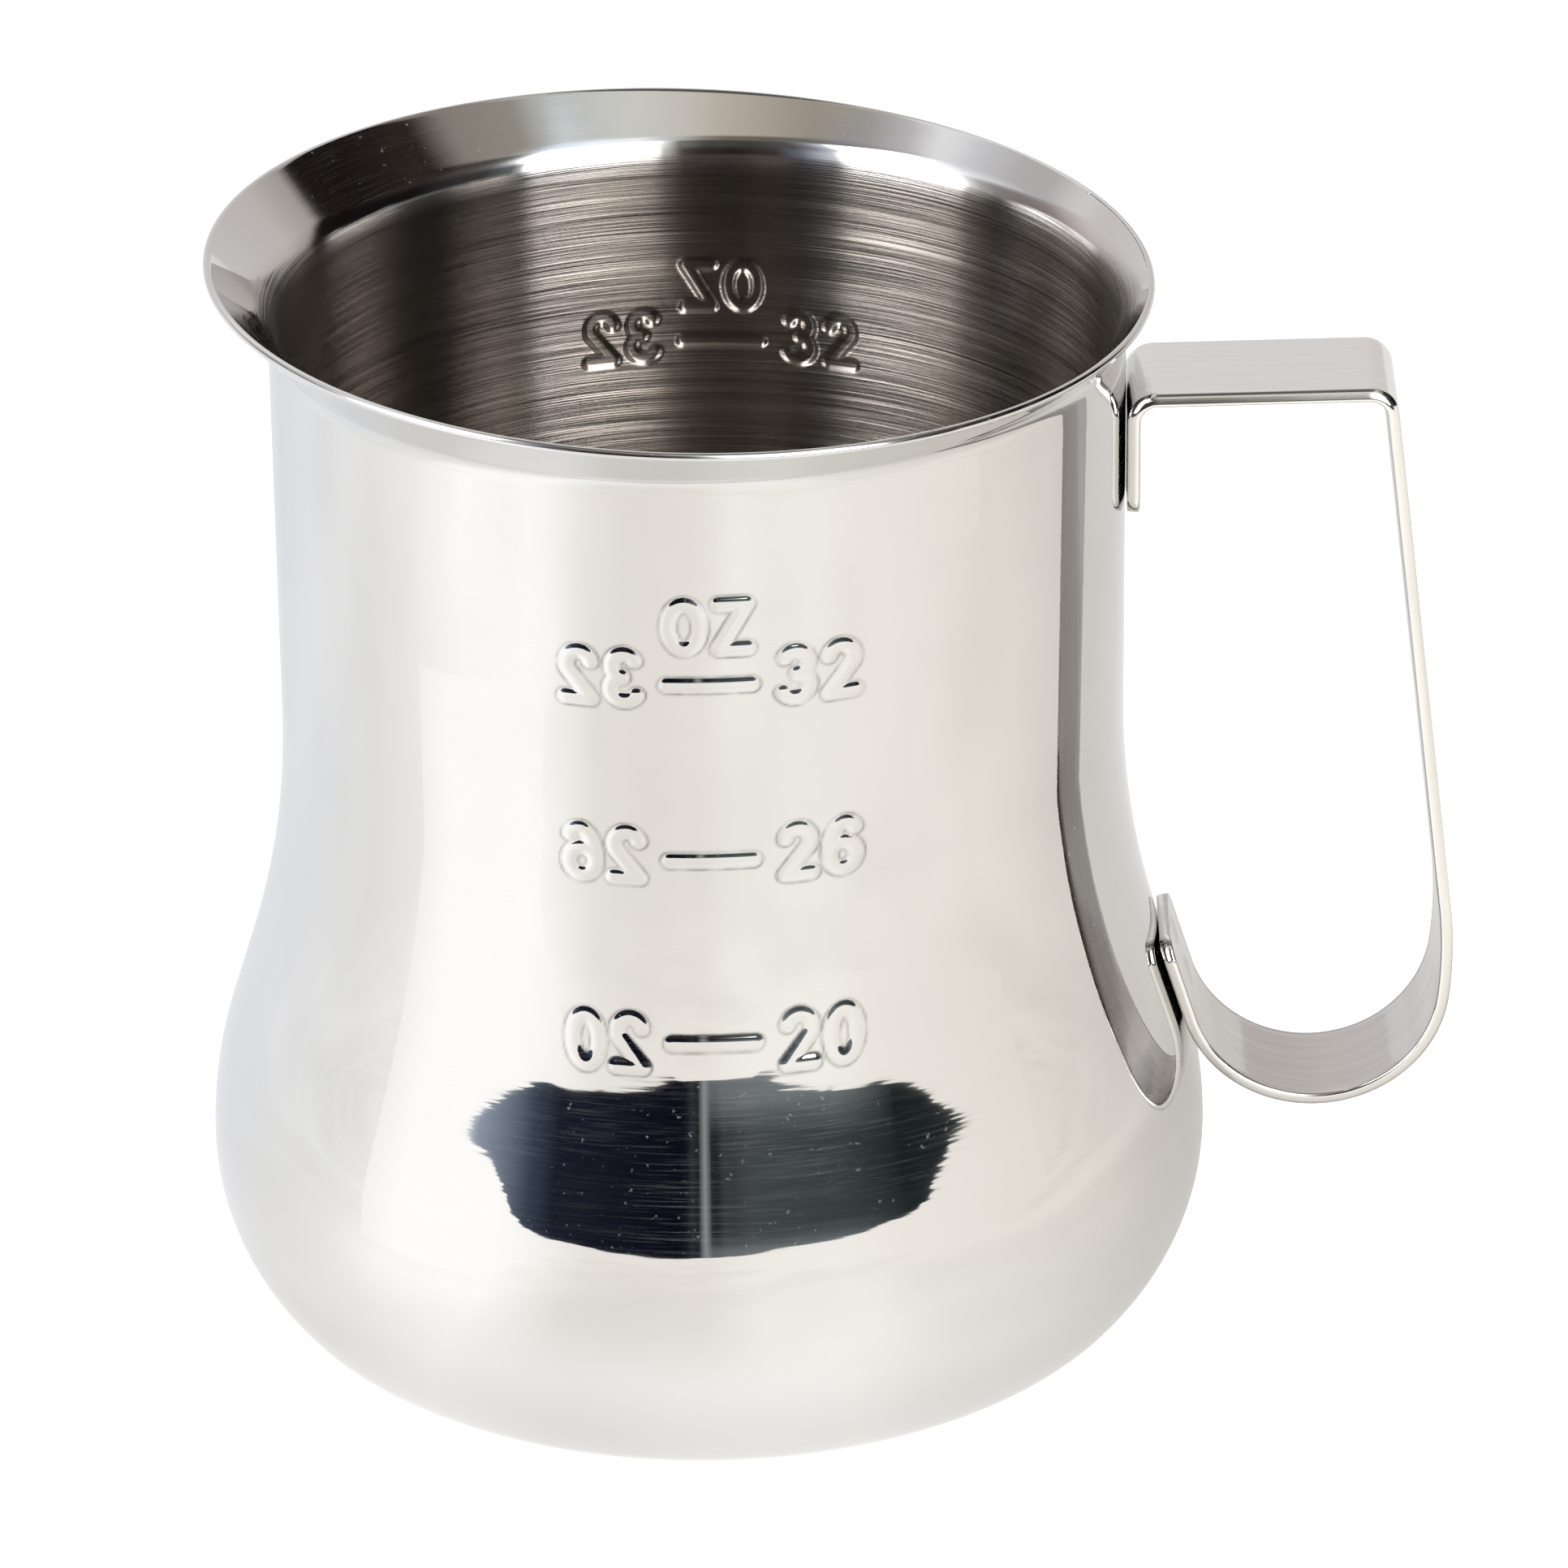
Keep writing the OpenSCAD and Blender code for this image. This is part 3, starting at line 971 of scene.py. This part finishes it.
vessel = vessel_mesh(polished, brushed)
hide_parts("vessel")
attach(vessel, "root")

handle = handle_mesh(strip)
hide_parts("handle")
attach(handle, "root")

welds = weld_mesh(weld)
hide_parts("spot_welds")
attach(welds, "root")

# ---------------------------------------------------------------- camera

CAMERA_DISTANCE = 974.0
CAMERA_HEIGHT = 540.3
CAMERA_SIDE = 1.16 * DEG  # the camera's place around the axis, from -Y towards +X
CAMERA_YAW = -0.588 * DEG  # the way it looks, from +Y towards +X
CAMERA_PITCH = 25.9758 * DEG
CAMERA_ROLL = -0.6277 * DEG
LENS = 204.08


def make_camera():
    """The camera that was fitted to the picture by the vessel's circles and outline."""
    data = bpy.data.cameras.new("camera")
    data.sensor_width = 36
    data.lens = LENS
    data.clip_start, data.clip_end = 0.05, 20
    obj = bpy.data.objects.new("camera", data)
    bpy.context.scene.collection.objects.link(obj)
    place = Vector(
        (
            CAMERA_DISTANCE * math.sin(CAMERA_SIDE),
            -CAMERA_DISTANCE * math.cos(CAMERA_SIDE),
            CAMERA_HEIGHT,
        )
    )
    level = Vector((math.cos(CAMERA_YAW), -math.sin(CAMERA_YAW), 0))
    forward = Vector(
        (
            math.sin(CAMERA_YAW) * math.cos(CAMERA_PITCH),
            math.cos(CAMERA_YAW) * math.cos(CAMERA_PITCH),
            -math.sin(CAMERA_PITCH),
        )
    )
    upright = level.cross(forward)
    right = level * math.cos(CAMERA_ROLL) + upright * math.sin(CAMERA_ROLL)
    up = upright * math.cos(CAMERA_ROLL) - level * math.sin(CAMERA_ROLL)
    turn = Matrix((right, up, -forward)).transposed().to_4x4()
    obj.matrix_world = Matrix.Translation(place * MM) @ turn
    bpy.context.scene.camera = obj


make_camera()

# ---------------------------------------------------------------- studio


def make_world(colour, strength):
    """A plain, even light from all around."""
    world = bpy.data.worlds.new("studio")
    world.use_nodes = True
    background = world.node_tree.nodes["Background"]
    background.inputs["Color"].default_value = (*colour, 1)
    background.inputs["Strength"].default_value = strength
    bpy.context.scene.world = world


def ramp(tree, factor, stops):
    """A colour ramp: stops are (position from 0 to 1, colour)."""
    node = add(tree, "ShaderNodeValToRGB")
    elements = node.color_ramp.elements
    while len(elements) > 1:
        elements.remove(elements[-1])
    for k, (position, colour) in enumerate(stops):
        element = elements[0] if k == 0 else elements.new(position)
        element.position = position
        element.color = (*colour, 1)
    tree.links.new(factor, node.inputs["Fac"])
    return node.outputs["Color"]


def around(tree):
    """A point's azimuth, as 0 to 1 from -180 to 180 degrees, and its x, y and z."""
    _, x, y, z = place_on_object(tree)
    angle = maths(tree, "ARCTAN2", y, x)
    turned = maths(tree, "DIVIDE", angle, 2 * math.pi)
    return maths(tree, "ADD", turned, 0.5), x, y, z


def rgb(colour):
    """Red, green and blue from a colour or from one grey."""
    return colour if isinstance(colour, tuple) else (colour, colour, colour)


def azimuth_stops(stops, peak):
    """Ramp stops from (degrees, colour or grey), scaled so that no colour is over 1."""
    return [
        ((degrees + 180) / 360, tuple(c / peak for c in rgb(colour)))
        for degrees, colour in stops
    ]


TENT_RADIUS = 1000.0
PEAK = 9.6  # the brightest colour of the studio's walls

# Brightness of the floor as the pitcher sees it, from its foot outwards, by azimuth
NEAR_FLOOR = [
    (-180, (1.01, 1.01, 1.02)),
    (-150, (1.11, 1.1, 1.08)),
    (-130, (1.22, 1.21, 1.19)),
    (-110, (1.18, 1.16, 1.14)),
    (-70, (1.21, 1.19, 1.15)),
    (-50, (1.07, 1.05, 1.01)),
    (-30, (0.93, 0.91, 0.87)),
    (-10, (0.81, 0.78, 0.74)),
    (30, (0.69, 0.67, 0.65)),
    (50, (0.72, 0.71, 0.69)),
    (90, 0.85),
    (120, (0.9, 0.9, 0.94)),
    (150, (0.88, 0.88, 0.93)),
    (180, (1.01, 1.01, 1.02)),
]
MIDDLE_FLOOR = [
    (-180, (1.05, 1.05, 1.03)),
    (-165, (1.16, 1.15, 1.13)),
    (-150, (1.38, 1.38, 1.37)),
    (-130, (1.4, 1.39, 1.37)),
    (-115, (1.1, 1.07, 1.02)),
    (-90, (1.1, 1.07, 1.0)),
    (-80, (1.22, 1.2, 1.15)),
    (-62, (1.25, 1.23, 1.17)),
    (-50, (1.12, 1.09, 1.03)),
    (-10, (0.94, 0.9, 0.83)),
    (10, (0.8, 0.77, 0.71)),
    (30, (0.72, 0.69, 0.65)),
    (60, 0.87),
    (110, (0.85, 0.86, 0.88)),
    (150, (0.9, 0.92, 0.97)),
    (180, (1.05, 1.05, 1.03)),
]
FAR_FLOOR = [
    (-180, (1.08, 1.08, 1.07)),
    (-165, (1.2, 1.2, 1.19)),
    (-150, 1.42),
    (-130, (1.4, 1.39, 1.37)),
    (-115, (1.14, 1.1, 1.04)),
    (-90, (1.13, 1.09, 1.02)),
    (-80, (1.22, 1.19, 1.13)),
    (-62, (1.24, 1.21, 1.14)),
    (-50, (1.17, 1.13, 1.06)),
    (-10, (1.04, 0.99, 0.91)),
    (30, (0.85, 0.82, 0.77)),
    (60, (0.85, 0.85, 0.84)),
    (110, (0.86, 0.87, 0.9)),
    (150, (1.02, 1.03, 1.06)),
    (180, (1.08, 1.08, 1.07)),
]

# What stands around the pitcher close to the floor, by azimuth: a dark room past the table,
# and paper as bright as the far floor's behind and beside
LOW_WALL = [
    *FAR_FLOOR[:2],
    (-149, 1.42),
    (-144, (0.36, 0.42, 0.52)),
    (-130, (0.05, 0.07, 0.11)),
    (-124, (0.012, 0.016, 0.03)),
    (-96, (0.004, 0.005, 0.01)),
    (-93.2, (0.01, 0.013, 0.02)),
    (-92.6, (0.04, 0.045, 0.055)),
    (-92.0, (0.01, 0.013, 0.02)),
    (-91.2, (0.015, 0.018, 0.025)),
    (-90.9, 0.95),
    (-90.2, 0.95),
    (-90.0, (0.35, 0.35, 0.36)),
    (-89.2, (0.2, 0.2, 0.21)),
    (-88.8, (0.02, 0.025, 0.03)),
    (-86.6, (0.02, 0.026, 0.034)),
    (-86.2, (0.09, 0.095, 0.1)),
    (-85.7, (0.045, 0.05, 0.055)),
    (-80, (0.07, 0.083, 0.09)),
    (-60, (0.05, 0.065, 0.07)),
    (-45, (0.012, 0.02, 0.022)),
    (-25, (0.02, 0.025, 0.025)),
    (-22, (1.05, 1.0, 0.93)),
    *FAR_FLOOR[-6:],
]

# What stands above that: two large soft lights with a dark gap between them, and dark to the
# right. Three heights, from low to high, and then the ceiling's slope over them.
HIGH_WALL = [
    (-180, (0.33, 0.31, 0.32)),
    (-174, (0.6, 0.58, 0.58)),
    (-169, (1.3, 1.3, 1.28)),
    (-166, (7.5, 7.5, 7.4)),
    (-150, (9.5, 9.4, 9.5)),
    (-134, (6.8, 6.8, 6.7)),
    (-129, (0.9, 0.92, 1.0)),
    (-119, (0.2, 0.22, 0.28)),
    (-112, (0.07, 0.055, 0.055)),
    (-100, (0.03, 0.02, 0.02)),
    (-90, (0.05, 0.035, 0.035)),
    (-85, (0.11, 0.09, 0.08)),
    (-80, (0.8, 0.8, 0.72)),
    (-77, (3.2, 3.1, 3.0)),
    (-68, (5.4, 5.2, 5.0)),
    (-58, (7.8, 7.6, 7.4)),
    (-44, (7.8, 7.6, 7.9)),
    (-40, (0.8, 0.82, 0.82)),
    (-37, (0.17, 0.18, 0.19)),
    (-28, 0.06),
    (-5, (0.01, 0.009, 0.009)),
    (26, (0.008, 0.006, 0.006)),
    (36, (0.015, 0.011, 0.01)),
    (40, (0.5, 0.45, 0.42)),
    (50, (0.68, 0.64, 0.62)),
    (110, (0.78, 0.77, 0.77)),
    (140, (0.76, 0.71, 0.7)),
    (150, (0.6, 0.53, 0.53)),
    (158, (0.36, 0.31, 0.31)),
    (170, (0.28, 0.25, 0.24)),
    (180, (0.33, 0.31, 0.32)),
]
MIDDLE_WALL = [
    (-180, (1.0, 1.0, 1.05)),
    (-170, 1.5),
    (-160, 7.0),
    (-150, (8.8, 8.7, 8.8)),
    (-139, (5.8, 5.8, 5.9)),
    (-131, (0.8, 0.84, 0.95)),
    (-124, (0.26, 0.26, 0.3)),
    (-118, 0.11),
    (-105, (0.07, 0.065, 0.06)),
    (-92, (0.09, 0.085, 0.08)),
    (-84, (0.25, 0.25, 0.22)),
    (-79, (1.2, 1.2, 1.15)),
    (-76, (3.2, 3.1, 3.0)),
    (-66, (5.8, 5.6, 5.5)),
    (-58, (7.8, 7.6, 7.5)),
    (-42, (7.8, 7.6, 7.8)),
    (-36, (1.3, 1.35, 1.4)),
    (-32, (0.5, 0.52, 0.55)),
    (-28, (0.2, 0.2, 0.19)),
    (-20, (0.1, 0.09, 0.085)),
    (-5, (0.035, 0.028, 0.026)),
    (10, (0.03, 0.022, 0.018)),
    (25, (0.012, 0.009, 0.008)),
    (38, (0.015, 0.011, 0.01)),
    (41, (0.5, 0.46, 0.44)),
    (75, (0.75, 0.73, 0.71)),
    (110, (1.0, 1.0, 0.98)),
    (140, (0.9, 0.88, 0.87)),
    (150, (0.6, 0.57, 0.57)),
    (158, (0.6, 0.58, 0.59)),
    (168, (0.75, 0.75, 0.77)),
    (180, (1.0, 1.0, 1.05)),
]
UPPER_WALL = [
    (-180, 1.0),
    (-172, (0.65, 0.62, 0.65)),
    (-160, (0.45, 0.43, 0.42)),
    (-150, (0.33, 0.33, 0.35)),
    (-132, (0.2, 0.19, 0.18)),
    (-116, (0.18, 0.16, 0.13)),
    (-100, (0.22, 0.19, 0.16)),
    (-92, (0.34, 0.31, 0.28)),
    (-84, (0.6, 0.6, 0.56)),
    (-76, (0.82, 0.86, 0.88)),
    (-68, (1.2, 1.26, 1.3)),
    (-52, (1.26, 1.33, 1.4)),
    (-36, (0.95, 1.09, 1.19)),
    (-28, (0.54, 0.55, 0.53)),
    (-20, (0.37, 0.34, 0.3)),
    (0, (0.3, 0.27, 0.24)),
    (40, (0.3, 0.28, 0.26)),
    (110, 0.8),
    (180, 1.0),
]
CEILING = [
    (-180, (0.6, 0.57, 0.52)),
    (-160, (0.51, 0.48, 0.42)),
    (-140, (0.43, 0.38, 0.32)),
    (-120, (0.54, 0.49, 0.42)),
    (-100, (0.65, 0.6, 0.51)),
    (-84, (0.75, 0.71, 0.66)),
    (-60, (0.81, 0.81, 0.76)),
    (-44, (0.74, 0.75, 0.74)),
    (-28, (0.64, 0.65, 0.62)),
    (0, (0.5, 0.48, 0.45)),
    (60, (0.5, 0.48, 0.45)),
    (180, (0.6, 0.57, 0.52)),
]


def open_ring(radius, low, high, top_radius=None, steps=96):
    """An open ring of faces around the axis."""
    a = np.linspace(0, 2 * math.pi, steps, endpoint=False)
    rows = [
        np.stack([r * np.cos(a), r * np.sin(a), np.full(steps, z)], 1)
        for r, z in ((radius, low), (top_radius or radius, high))
    ]
    return np.concatenate(rows), grid_faces(2, steps)


def card_material(name):
    """A material that only glows, its node tree and its glow."""
    material = bpy.data.materials.new(name)
    material.use_nodes = True
    tree = material.node_tree
    tree.nodes.clear()
    glow = add(tree, "ShaderNodeEmission")
    out = add(tree, "ShaderNodeOutputMaterial")
    tree.links.new(glow.outputs[0], out.inputs["Surface"])
    return material, tree, glow


def only_in_reflections(obj):
    """Sets up a piece of the studio that the steel shows and nothing else does."""
    obj.visible_camera = False
    obj.visible_diffuse = False
    obj.visible_shadow = False
    obj.visible_transmission = False


HAZE = (0.14, 0.15, 0.155)  # a paler foot of the dark room, to the right of its middle
HAZE_AZIMUTHS = (-89.0, -50.0)
# Heights between which each picture of the wall gives way to the next
HAZE_FADE = (30.0, 125.0)
HIGH_FADE = (165.0, 185.0)
MIDDLE_FADE = (500.0, 760.0)
UPPER_FADE = (1200.0, 1440.0)
CEILING_FADE = (1750.0, 2000.0)
WALL_TOP = 1750.0
TOP_RING = 700.0  # radius of the ring where the ceiling's slope meets the light overhead
TOP_HEIGHT = 2300.0
TOP_COLOUR = (1.0, 0.98, 0.96)
TOP_GLOW = 0.12


def glowing_ring(name, low, high, layers, top_radius=None):
    """A wall that only reflections see. Layers are (heights where it fades in, stops)."""
    material, tree, glow = card_material(name)
    angle, _, _, z = around(tree)
    colour = None
    for fade, stops in layers:
        layer = ramp(tree, angle, azimuth_stops(stops, PEAK))
        if colour is None:
            colour = layer
        else:
            colour = mix_colours(tree, soft_step(tree, z, *fade), colour, layer)
    tree.links.new(colour, glow.inputs["Color"])
    glow.inputs["Strength"].default_value = PEAK
    points, faces = open_ring(TENT_RADIUS, low, high, top_radius)
    only_in_reflections(make_mesh(name, points, faces, [material]))


def with_haze(stops):
    """The same stops with the haze over the table added, between its azimuths."""
    start, end = HAZE_AZIMUTHS
    hazy = []
    for degrees, colour in stops:
        if start < degrees < end:
            colour = tuple(c + h for c, h in zip(rgb(colour), HAZE))
        hazy.append((degrees, colour))
    return hazy


def make_studio():
    """What the steel mirrors above the floor: walls, the ceiling's slope and a top light."""
    make_world((1, 1, 1), 1.0)
    glowing_ring(
        "studio_wall",
        -1,
        WALL_TOP,
        [
            (None, with_haze(LOW_WALL)),
            (HAZE_FADE, LOW_WALL),
            (HIGH_FADE, HIGH_WALL),
            (MIDDLE_FADE, MIDDLE_WALL),
            (UPPER_FADE, UPPER_WALL),
        ],
    )
    slope = [(None, UPPER_WALL), (CEILING_FADE, CEILING)]
    glowing_ring("studio_slope", WALL_TOP, TOP_HEIGHT, slope, TOP_RING)

    material, tree, glow = card_material("top_light")
    glow.inputs["Color"].default_value = (*TOP_COLOUR, 1)
    glow.inputs["Strength"].default_value = TOP_GLOW
    points, faces = open_ring(TOP_RING, TOP_HEIGHT, TOP_HEIGHT + 0.1, 1)
    only_in_reflections(make_mesh("studio_top_light", points, faces, [material]))


# The paper and what it shows
FLOOR_PEAK = 1.5
CONTACT_SHADE = 0.88  # how dark the paper gets right beside the base
CONTACT_FADE = (52.0, 76.0)  # distances from the axis, as in the next two
NEAR_FADE = (65.0, 130.0)
FAR_FADE = (120.0, 240.0)
FLOOR_HALF = 6000.0
PAPER_COLOUR = (0.3, 0.3, 0.3)
PAPER_GLOW = 1.05


def paper_colour(tree):
    """The colour of the paper over FLOOR_PEAK, by azimuth and distance from the axis."""
    angle, x, y, _ = around(tree)
    flat, radius = off_axis(tree, x, y)
    near, middle, far = (
        ramp(tree, angle, azimuth_stops(stops, FLOOR_PEAK))
        for stops in (NEAR_FLOOR, MIDDLE_FLOOR, FAR_FLOOR)
    )
    colour = mix_colours(tree, soft_step(tree, radius, *NEAR_FADE), near, middle)
    colour = mix_colours(tree, soft_step(tree, radius, *FAR_FADE), colour, far)
    contact = soft_step(tree, radius, *CONTACT_FADE, (CONTACT_SHADE, 1.0))
    return vectors(tree, "SCALE", colour, contact), flat


def make_floor():
    """Plain white paper, and over it what only reflections see of the paper's brightness."""
    half = FLOOR_HALF
    corners = [(-half, -half, 0), (half, -half, 0), (half, half, 0), (-half, half, 0)]
    material, tree, shader = new_material("floor_paper")
    shader.inputs["Base Color"].default_value = (*PAPER_COLOUR, 1)
    shader.inputs["Roughness"].default_value = 1
    shader.inputs["Specular IOR Level"].default_value = 0
    shader.inputs["Emission Color"].default_value = (1, 1, 1, 1)
    shader.inputs["Emission Strength"].default_value = PAPER_GLOW
    paper = make_mesh("floor", corners, [[0, 1, 2, 3]], [material])
    paper.visible_glossy = False

    material, tree, glow = card_material("floor_glow")
    colour, flat = paper_colour(tree)
    cloud = noise(tree, flat, 7, 2)
    shade = remap(tree, cloud, (0.3, 0.7), (0.93, 1.03))
    tree.links.new(vectors(tree, "SCALE", colour, shade), glow.inputs["Color"])
    glow.inputs["Strength"].default_value = FLOOR_PEAK
    only_in_reflections(make_mesh("floor_glow", corners, [[0, 1, 2, 3]], [material]))


# A low rise of the paper in front of the pitcher: azimuth, distance from the axis and height
RISE = [
    (-158, 150, 50),
    (-132, 160, 48),
    (-129, 210, 46),
    (-126, 320, 40),
    (-122, 480, 35),
    (-112, 650, 28),
    (-96, 700, 22),
    (-84, 600, 26),
    (-76, 370, 37),
    (-60, 415, 41),
    (-54, 310, 43.5),
    (-47, 290, 44.5),
    (-43, 230, 47),
    (-38, 220, 49),
    (-31, 300, 51),
    (-15, 300, 52),
]


def make_rise():
    """The low rise, as a standing strip that shows the paper's colours."""
    degrees, distances, tops = np.array(RISE).T
    material, tree, glow = card_material("rise_glow")
    colour, _ = paper_colour(tree)
    tree.links.new(colour, glow.inputs["Color"])
    glow.inputs["Strength"].default_value = FLOOR_PEAK
    a = np.arange(degrees[0], degrees[-1] + 0.5, 1.0)
    top = np.interp(a, degrees, tops)
    distance = np.interp(a, degrees, distances)
    x, y = np.cos(a * DEG) * distance, np.sin(a * DEG) * distance
    points = np.concatenate([np.stack([x, y, top * 0], 1), np.stack([x, y, top], 1)])
    faces = grid_faces(2, len(a), closed=False)
    only_in_reflections(make_mesh("paper_rise", points, faces, [material]))


make_studio()
make_floor()
make_rise()
bpy.context.scene.view_settings.view_transform = "Standard"
